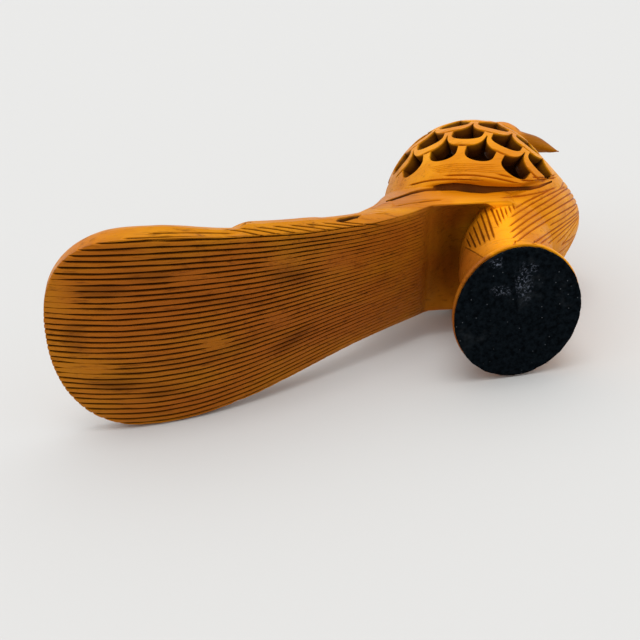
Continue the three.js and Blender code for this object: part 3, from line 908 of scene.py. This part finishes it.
def fuzz_mesh():
    """Hairs on the underside and round the edge of the felt."""
    points, faces = [], []
    for _ in range(FELT_FUZZ):
        turn = rng.uniform(0, 2 * math.pi)
        edge = rng.random() < 0.3
        share = 0.985 if edge else math.sqrt(rng.uniform(0, 0.96))
        reach = share * float(felt_reach([turn])[0])
        height = rng.uniform(0.3, 0.9) if edge else 0.22
        x = FELT_HALF_LENGTH * reach * math.cos(turn)
        y = FELT_HALF_WIDTH * reach * math.sin(turn)
        heading_away = rng.uniform(0, 2 * math.pi)
        along = np.array([math.cos(heading_away), math.sin(heading_away), 0.0 if edge else -0.25])
        if edge:
            along = np.array([math.cos(turn), math.sin(turn), 0]) * 0.4 + along
        length = rng.uniform(0.25, 0.5) if edge else rng.uniform(0.4, 1.1)
        bend = np.array([0, 0, 0.12])
        hair = fibre(np.array([x, y, height]), along, bend, length, rng.uniform(0.02, 0.04))
        hair[:, 2] = np.clip(hair[:, 2], 0.004, FELT_THICKNESS)
        faces += [[len(points) + v for v in face] for face in FIBRE_FACES]
        points += list(hair)
    return made_object("fuzz", points, faces)


# Assembly

def roughened(made):
    """Presses the surface in a little and unevenly, as a knife and sandpaper leave it."""
    mesh = made.data
    co = vertices(mesh)
    normals = np.zeros(len(co) * 3)
    mesh.vertices.foreach_get("normal", normals)
    normals = normals.reshape(-1, 3)
    sunk = [0.10 + 0.10 * noise.noise(Vector(p) * 0.16) + 0.05 * noise.noise(Vector(p) * 0.5) for p in co]
    pressed = co - normals * np.array(sunk)[:, None]
    lowest, highest = np.array(CAD_BOX) / MM
    kept = np.clip(pressed, lowest + BOX_MARGIN, highest - BOX_MARGIN)
    mesh.vertices.foreach_set("co", kept.ravel())
    mesh.update()


def carve_all(target, cuts):
    """Cuts away many gouges, in groups whose members don't touch."""
    for first in range(min(CUT_GROUPS, len(cuts))):
        carve(target, joined("cuts", cuts[first::CUT_GROUPS]))


def plain_bird():
    """The bird's outer form, before it is pierced and carved."""
    bird = body_mesh()
    carve(bird, tail_mesh(), "UNION")
    for layer in TRAIN_LAYERS:
        carve(bird, train_mesh(*layer), "UNION")
    carve(bird, hollow_mesh())
    carve(bird, leg_mesh(), "UNION")
    for part in (neck_mesh(), *head_meshes(), crest_mesh()):
        carve(bird, part, "UNION")
    roughened(bird)
    return bird


def pierced(bird):
    """Cuts the room and the holes, every other row at a time, so that the tools don't touch."""
    carve(bird, cavity_mesh())
    for which in (0, 1):
        latitudes = [row[0] for row in HOLE_ROWS[which::2]]
        places = [place for place in hole_places() if place[1] in latitudes]
        carve(bird, joined("holes", [hole_mesh(*place) for place in places]))


def band_edges(x):
    """Top and bottom of the furrow's band, in pixels."""
    return tuple(np.interp(x, *np.array(FURROW_BAND)[:, [0, i]].T) for i in (1, 2))


def furrow_cuts(tree):
    """A flat channel whose sides run away from the camera, so that its edges show as in the photograph."""
    rings = []
    for x in np.arange(FURROW_BAND[0][0], FURROW_BAND[-1][0] + 1, 2.0):
        top, bottom = band_edges(x)
        point = under_pixel(tree, (x, (top + bottom) / 2))
        away = point - CAMERA_AT
        half = AXES[1] * (bottom - top) / 2 * (away @ AXES[2]) / FOCAL_PIXELS
        away = unit(away)
        front, back = point - away * FURROW_FRONT, point + away * FURROW_FLOOR
        rings.append([front - half, back - half * 0.85, back + half * 0.85, front + half])
    rings = np.array(rings)
    return [lofted("furrow", rings * np.array([1, flip, 1])) for flip in (1, -1)]


def fine_cuts(bird):
    """Carves the fine work, and returns the surface as it was before."""
    tree = tree_of(bird)
    carve_all(bird, crease_cuts())
    carve_all(bird, tail_grooves())
    carve_all(bird, furrow_cuts(tree))
    for lines, width, depth, onward in SURFACE_CUTS:
        carve_all(bird, surface_cuts(tree, lines, width, depth, onward))
    return tree


# Stain, painted shade and painted light

def in_furrow_band(pixels):
    x, y = pixels.T
    top, bottom = band_edges(x)
    first, last = FURROW_BAND[0][0], FURROW_BAND[-1][0]
    ends = smooth(x, first - 3, first + 8) * (1 - smooth(x, last, last + 4))
    return ends * smooth(y, top - 0.9, top - 0.2) * (1 - smooth(y, bottom + 0.2, bottom + 0.9))


def under_knife_edge(pixels):
    x, y = pixels.T
    edge = np.interp(x, *np.array(KNIFE_EDGE).T)
    return smooth(y, edge - 0.3, edge + 0.5) * (1 - smooth(x, 486, 490))


def keep_values(mesh, **values):
    """Numbers at the vertices that the material reads by name."""
    for name, value in values.items():
        attribute = mesh.attributes.new(name, "FLOAT", "POINT")
        attribute.data.foreach_set("value", value.astype(np.float32))


def distances(tree, points):
    return np.array([tree.find_nearest(Vector(p))[3] for p in points])


def beneath_root(points):
    """1 on the ceiling of the hollow between tail and leg, and 0 elsewhere."""
    x, y, z = points.T
    above = z - tail_underside(x)
    return smooth(x, -24, -20) * (1 - smooth(np.abs(y), 16.8, 17.3)) * (1 - smooth(above, 9.6, 10.6))


def golden_shares(points, tail):
    """Golden on the body, and brown along the tail but for its sides and its end."""
    x, _, z = points.T
    golden = 1 - tail * 0.75
    golden += tail * 0.15 * (1 - smooth(x, TAIL_TIP_X, TAIL_TIP_X + 26))
    golden += tail * 0.42 * smooth(z - tail_underside(x), 0.6, 1.6) * (1 - 0.9 * beneath_root(points))
    return np.clip(golden, 0, 1)


def dim_shares(points, pixels, tail, depth, inside):
    """Painted shade in holes, creases, the furrow and the hollow by the leg; darker on the beak, and darker
    wood in patches of the tail.
    """
    x, _, z = points.T
    # Painted shade in the holes, the hollow, the furrow's band and the creases; the beak and the patches are
    # darker wood
    shade_in_holes = smooth(inside - depth, 0.0, 0.8) * smooth(z, 32, 35)
    hollow = smooth(x, -24, -13) * (1 - smooth(x, -4, 2)) * smooth(z, 18, 26) * beneath_root(points)
    hollow *= 1 + 0.5 * np.array([noise.noise(Vector((a * 0.5, b * 0.12, c * 0.3))) for a, b, c in points])
    band = in_furrow_band(pixels) * smooth(z, 30, 34) * smooth(depth, 0.05, 0.5)
    beak = smooth(x, 31, 36) * smooth(z, 98, 104)
    creases = smooth(z, 50, 54) * smooth(depth, 0.2, 0.6)
    patches = darkened(pixels) * tail * (1 - smooth(z - tail_underside(x), 0.3, 1))
    shades = [0.97 * shade_in_holes, 0.3 * hollow, 0.66 * band, 0.6 * beak, 0.7 * creases, patches]
    return np.max(shades, axis=0)


def painted_light_and_tone_shares(points, pixels):
    """Painted light (+) on the back of the thigh, less of it on the facet under the knife edge, which is
    painted shade, and deeper in tone (-) along the strip of belly beside it.
    """
    x, y, z = points.T
    facet_shade = under_knife_edge(pixels) * (1 - smooth(z, 30, 33)) * smooth(z, 1.6, 1.7) * smooth(x, -22, -18)
    thigh = smooth(x, -13, -9) * (1 - smooth(x, 1, 8)) * smooth(z, 2, 4) * (1 - smooth(z, 33, 37))
    strip = smooth(np.abs(y), 16.5, 17.3) * (1 - smooth(x, 12, 18))
    strip *= smooth(z, 30, 32) * (1 - smooth(z, 42, 43))
    return (1 - 0.8 * facet_shade) * thigh - strip


def stain_and_painted_light(bird, plain_tree, solid_tree):
    """Vertex values for the material, stain with painted shade and painted light, from the surface before the
    fine cuts and before the piercing.
    """
    points = vertices(bird.data)
    pixels = seen_at(right_side(points))
    depth = distances(plain_tree, points)
    inside = distances(solid_tree, points)
    tail = 1 - smooth(points[:, 0] - 16 * beneath_root(points), -26, -12)
    keep_values(
        bird.data,
        # The cut depth darkens cuts as painted shade; the dark value is painted shade in holes, hollow,
        # furrow and creases with darker wood; the pale value is painted light on the thigh
        cut=np.clip(depth / 0.6, 0, 1),
        dim=dim_shares(points, pixels, tail, depth, inside),
        pale=painted_light_and_tone_shares(points, pixels),
        golden=golden_shares(points, tail),
        tail=tail,
    )


def finished(made, name, material, sharp_over):
    """Scales to metres, smooths the shading but for edges sharper than some degrees, and names the piece."""
    mesh = made.data
    mesh.transform(Matrix.Scale(MM, 4))
    mesh.polygons.foreach_set("use_smooth", [True] * len(mesh.polygons))
    mesh.set_sharp_from_angle(angle=math.radians(sharp_over))
    mesh.materials.clear()
    mesh.materials.append(material)
    made.name = name
    mesh.name = name


# Materials

def add(material, kind, inputs=None, out=0, **settings):
    """A node whose sockets take values or other nodes' outputs."""
    tree = material.node_tree
    made = tree.nodes.new(kind)
    for key, value in settings.items():
        setattr(made, key, value)
    for key, value in (inputs or {}).items():
        socket = made.inputs[key]
        if isinstance(value, bpy.types.NodeSocket):
            tree.links.new(value, socket)
        else:
            socket.default_value = value
    return made.outputs[out]


def mixed(material, factor, a, b):
    return add(material, "ShaderNodeMix", {0: factor, 6: a, 7: b}, 2, data_type="RGBA")


def stretch(material, value, low, high, to_low=0.0, to_high=1.0):
    return add(material, "ShaderNodeMapRange", {0: value, 1: low, 2: high, 3: to_low, 4: to_high},
               interpolation_type="SMOOTHSTEP")


def times(material, a, b):
    return add(material, "ShaderNodeMath", {0: a, 1: b}, operation="MULTIPLY")


def summed(material, a, b, clamped=False):
    return add(material, "ShaderNodeMath", {0: a, 1: b}, operation="ADD", use_clamp=clamped)


def stored(material, name):
    """A number kept at the vertices."""
    return add(material, "ShaderNodeAttribute", out=2, attribute_name=name)


def cloudy(material, place, scale, detail, roughness):
    return add(material, "ShaderNodeTexNoise",
               {"Vector": place, "Scale": scale, "Detail": detail, "Roughness": roughness})


def grain(material, scale, along, detail, roughness):
    """Noise drawn out along X, the run of the wood's grain."""
    place = add(material, "ShaderNodeTexCoord", out=3)
    squeezed = add(material, "ShaderNodeMapping", {"Vector": place, "Scale": (along, 1.0, 1.0)})
    return cloudy(material, squeezed, scale, detail, roughness)


def cleared(owner):
    """A new material or world, with no nodes yet."""
    owner.use_nodes = True
    owner.node_tree.nodes.clear()
    return owner


def close(owner, surface, kind="ShaderNodeOutputMaterial"):
    end = owner.node_tree.nodes.new(kind)
    owner.node_tree.links.new(surface, end.inputs["Surface"])
    return owner


# Colours of the body: painted light on the thigh, then light to dark; of the tail; of painted shade in cuts
# on the tail and on the body; and of painted shade and darker wood
WOOD_PAINTED_LIGHT = (0.98, 0.355, 0.004, 1)
WOOD_GOLD = (0.76, 0.300, 0.004, 1)
WOOD_ORANGE = (0.57, 0.178, 0.002, 1)
WOOD_BROWN = (0.190, 0.037, 0.007, 1)
WOOD_DARK = (0.060, 0.010, 0.0015, 1)
TAIL_CUT_SHADE = (0.018, 0.003, 0.0008, 1)
BODY_CUT_SHADE = (0.36, 0.072, 0.001, 1)
WOOD_SHADE_AND_DARK = (0.040, 0.0075, 0.001, 1)
WOOD_SHEEN = (1.0, 0.55, 0.15, 1)


def wood():
    material = cleared(bpy.data.materials.new("wood"))
    names = ("cut", "dim", "pale", "golden", "tail")
    cut, dim, pale, golden, tail = (stored(material, name) for name in names)
    broad = grain(material, 60, 0.25, 3, 0.6)
    fine = grain(material, 900, 0.07, 3, 0.7)
    pores = grain(material, 2400, 0.05, 2, 0.5)
    # The pale value adds painted light on the thigh and a deeper tone on the belly strip
    tone = summed(material, stretch(material, broad, 0.35, 0.65), pale, clamped=True)
    body = mixed(material, tone, WOOD_ORANGE, WOOD_GOLD)
    body = mixed(material, stretch(material, pale, 0, 1), body, WOOD_PAINTED_LIGHT)
    mottled = mixed(material, stretch(material, broad, 0.45, 0.7), WOOD_BROWN, WOOD_DARK)
    brown = mixed(material, 0.35, WOOD_BROWN, mottled)
    colour = mixed(material, golden, brown, body)
    marks = [stretch(material, fine, 0.52, 0.72), stretch(material, pores, 0.62, 0.75)]
    for mark, on_body, on_tail in zip(marks, (0.28, 0.2), (0.5, 0.35)):
        share = times(material, mark, stretch(material, tail, 0, 1, on_body, on_tail))
        colour = mixed(material, share, colour, WOOD_DARK)
    # Painted shade at the bottom of cuts, deeper where the cut is deeper
    deep = mixed(material, tail, BODY_CUT_SHADE, TAIL_CUT_SHADE)
    colour = mixed(material, times(material, stretch(material, cut, 0.04, 0.55), 0.9), colour, deep)
    # Painted shade, and darker wood, from the dark value
    colour = mixed(material, dim, colour, WOOD_SHADE_AND_DARK)
    roughness = stretch(material, fine, 0.3, 0.7, 0.36, 0.5)
    height = summed(material, fine, pores)
    bump = add(material, "ShaderNodeBump", {"Height": height, "Strength": 0.5, "Distance": 0.0002})
    surface = add(material, "ShaderNodeBsdfPrincipled", {
        "Base Color": colour,
        "Roughness": roughness,
        "Normal": bump,
        "Specular IOR Level": 0.16,
        "Specular Tint": WOOD_SHEEN,
        "Coat Weight": 0.03,
        "Coat Roughness": 0.2,
    })
    return close(material, surface)


FELT_BLACK = (0.0006, 0.0012, 0.0018, 1)
FELT_GREY = (0.0045, 0.007, 0.0095, 1)
FELT_BLOOM = (0.04, 0.045, 0.05, 1)
FELT_SETTLED = (0.16, 0.18, 0.23, 1)
FELT_SPECK = (0.12, 0.13, 0.14, 1)


def felt():
    material = cleared(bpy.data.materials.new("felt"))
    place = add(material, "ShaderNodeTexCoord", out=3)
    tuft = cloudy(material, place, 700, 5, 0.7)
    dust = cloudy(material, place, 60, 4, 0.7)
    lint = cloudy(material, place, 1300, 3, 0.8)
    specks = add(material, "ShaderNodeTexVoronoi", {"Vector": place, "Scale": 520}, feature="F1")
    colour = mixed(material, stretch(material, tuft, 0.3, 0.7), FELT_BLACK, FELT_GREY)
    bloom = times(material, stretch(material, dust, 0.55, 0.75), 0.4)
    colour = mixed(material, bloom, colour, FELT_BLOOM)
    settled = times(material, stored(material, "dust"), stretch(material, lint, 0.5, 0.68))
    colour = mixed(material, times(material, settled, 0.8), colour, FELT_SETTLED)
    colour = mixed(material, times(material, stretch(material, specks, 0.1, 0.04), 0.6), colour, FELT_SPECK)
    bump = add(material, "ShaderNodeBump", {"Height": tuft, "Strength": 0.6, "Distance": 0.0003})
    surface = add(material, "ShaderNodeBsdfPrincipled", {
        "Base Color": colour,
        "Roughness": 1.0,
        "Normal": bump,
        "Specular IOR Level": 0.02,
    })
    return close(material, surface)


def floor_paint():
    """Pale paper that is seen from its front only."""
    material = cleared(bpy.data.materials.new("floor"))
    front = add(material, "ShaderNodeBsdfPrincipled", {"Base Color": FLOOR_COLOUR, "Roughness": 0.9})
    back = add(material, "ShaderNodeBsdfTransparent")
    behind = add(material, "ShaderNodeNewGeometry", out=6)
    return close(material, add(material, "ShaderNodeMixShader", {0: behind, 1: front, 2: back}))


# Stage, light and camera: the bird lies on its left side on the floor

FLOOR_UP = unit([-0.081, -0.985, 0.152])
FLOOR_POINTS = [(-3, 20.5, 2.0), (-96, 28.2, 2.4), (3, 29.4, 62.6)]
FLOOR_SIZE = 6.0
FLOOR_COLOUR = (0.565, 0.565, 0.56, 1)
# Where the window's light comes from, as (right, up, back), and how bright it is there and on the other side
WINDOW_FROM = (0.0, 0.85, -0.2)
WINDOW_COLOUR = (1.0, 0.985, 0.96, 1)
SHADE_COLOUR = (0.80, 0.88, 1.0, 1)
WINDOW_STRENGTH = 1.19
SHADE_STRENGTH = 0.56
SUN_STRENGTH = 1.14
SUN_ANGLE = math.radians(38)


def stage_axes():
    """Right, up and back of the stage as the photograph's camera sees it."""
    back = unit(AXES[2] - FLOOR_UP * (AXES[2] @ FLOOR_UP))
    right = np.cross(back, FLOOR_UP)
    return right * np.sign(right @ AXES[0]), FLOOR_UP, back


def make_stage():
    right, up, back = stage_axes()
    height = min(np.array(FLOOR_POINTS) @ up)
    middle = up * height
    reach = FLOOR_SIZE * 0.5 / MM
    corners = [middle + right * a * reach + back * b * reach for a, b in ((-1, -1), (1, -1), (1, 1), (-1, 1))]
    floor = made_object("floor", np.array(corners) * MM, [(0, 1, 2, 3)])
    if np.array(floor.data.polygons[0].normal) @ up < 0:
        floor.data.flip_normals()
    floor.data.materials.append(floor_paint())
    window = unit(right * WINDOW_FROM[0] + up * WINDOW_FROM[1] + back * WINDOW_FROM[2])
    light = bpy.data.lights.new("window", "SUN")
    light.energy = SUN_STRENGTH
    light.angle = SUN_ANGLE
    lamp = placed(bpy.data.objects.new("window", light))
    lamp.rotation_euler = Vector(-window).to_track_quat("-Z", "Y").to_euler()
    make_world(window)


def make_world(window):
    """A pale room, brighter and whiter towards the window."""
    world = cleared(bpy.data.worlds.new("room"))
    direction = add(world, "ShaderNodeTexCoord")
    facing = add(world, "ShaderNodeVectorMath", {0: direction, 1: tuple(window)}, 1, operation="DOT_PRODUCT")
    share = stretch(world, facing, -0.8, 1.0)
    colour = mixed(world, share, SHADE_COLOUR, WINDOW_COLOUR)
    strength = stretch(world, facing, -0.8, 1.0, SHADE_STRENGTH, WINDOW_STRENGTH)
    light = add(world, "ShaderNodeBackground", {"Color": colour, "Strength": strength})
    bpy.context.scene.world = close(world, light, "ShaderNodeOutputWorld")


def make_camera():
    data = bpy.data.cameras.new("camera")
    data.sensor_width = SENSOR_MM
    data.lens = FOCAL_PIXELS * SENSOR_MM / IMAGE_SIZE
    data.clip_start = 0.01
    data.clip_end = 20
    camera = placed(bpy.data.objects.new("camera", data))
    turned = np.eye(4)
    turned[:3] = np.column_stack([AXES[0], -AXES[1], -AXES[2], CAMERA_AT * MM])
    camera.matrix_world = Matrix(turned)
    bpy.context.scene.camera = camera


def main():
    bird = plain_bird()
    solid_tree = tree_of(bird)
    pierced(bird)
    plain_tree = fine_cuts(bird)
    stain_and_painted_light(bird, plain_tree, solid_tree)
    finished(bird, "carved_peacock", wood(), 32)
    pad = joined("pad", [felt_mesh(), fuzz_mesh()])
    keep_values(pad.data, dust=felt_dust(vertices(pad.data)))
    finished(pad, "felt_disc", felt(), 60)
    for piece, node, slot in ((bird, "peacock", "wood"), (pad, "felt_pad", "felt")):
        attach(piece, "root")
        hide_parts(node)
    make_stage()
    make_camera()
    bpy.context.scene.view_settings.view_transform = "Standard"


main()
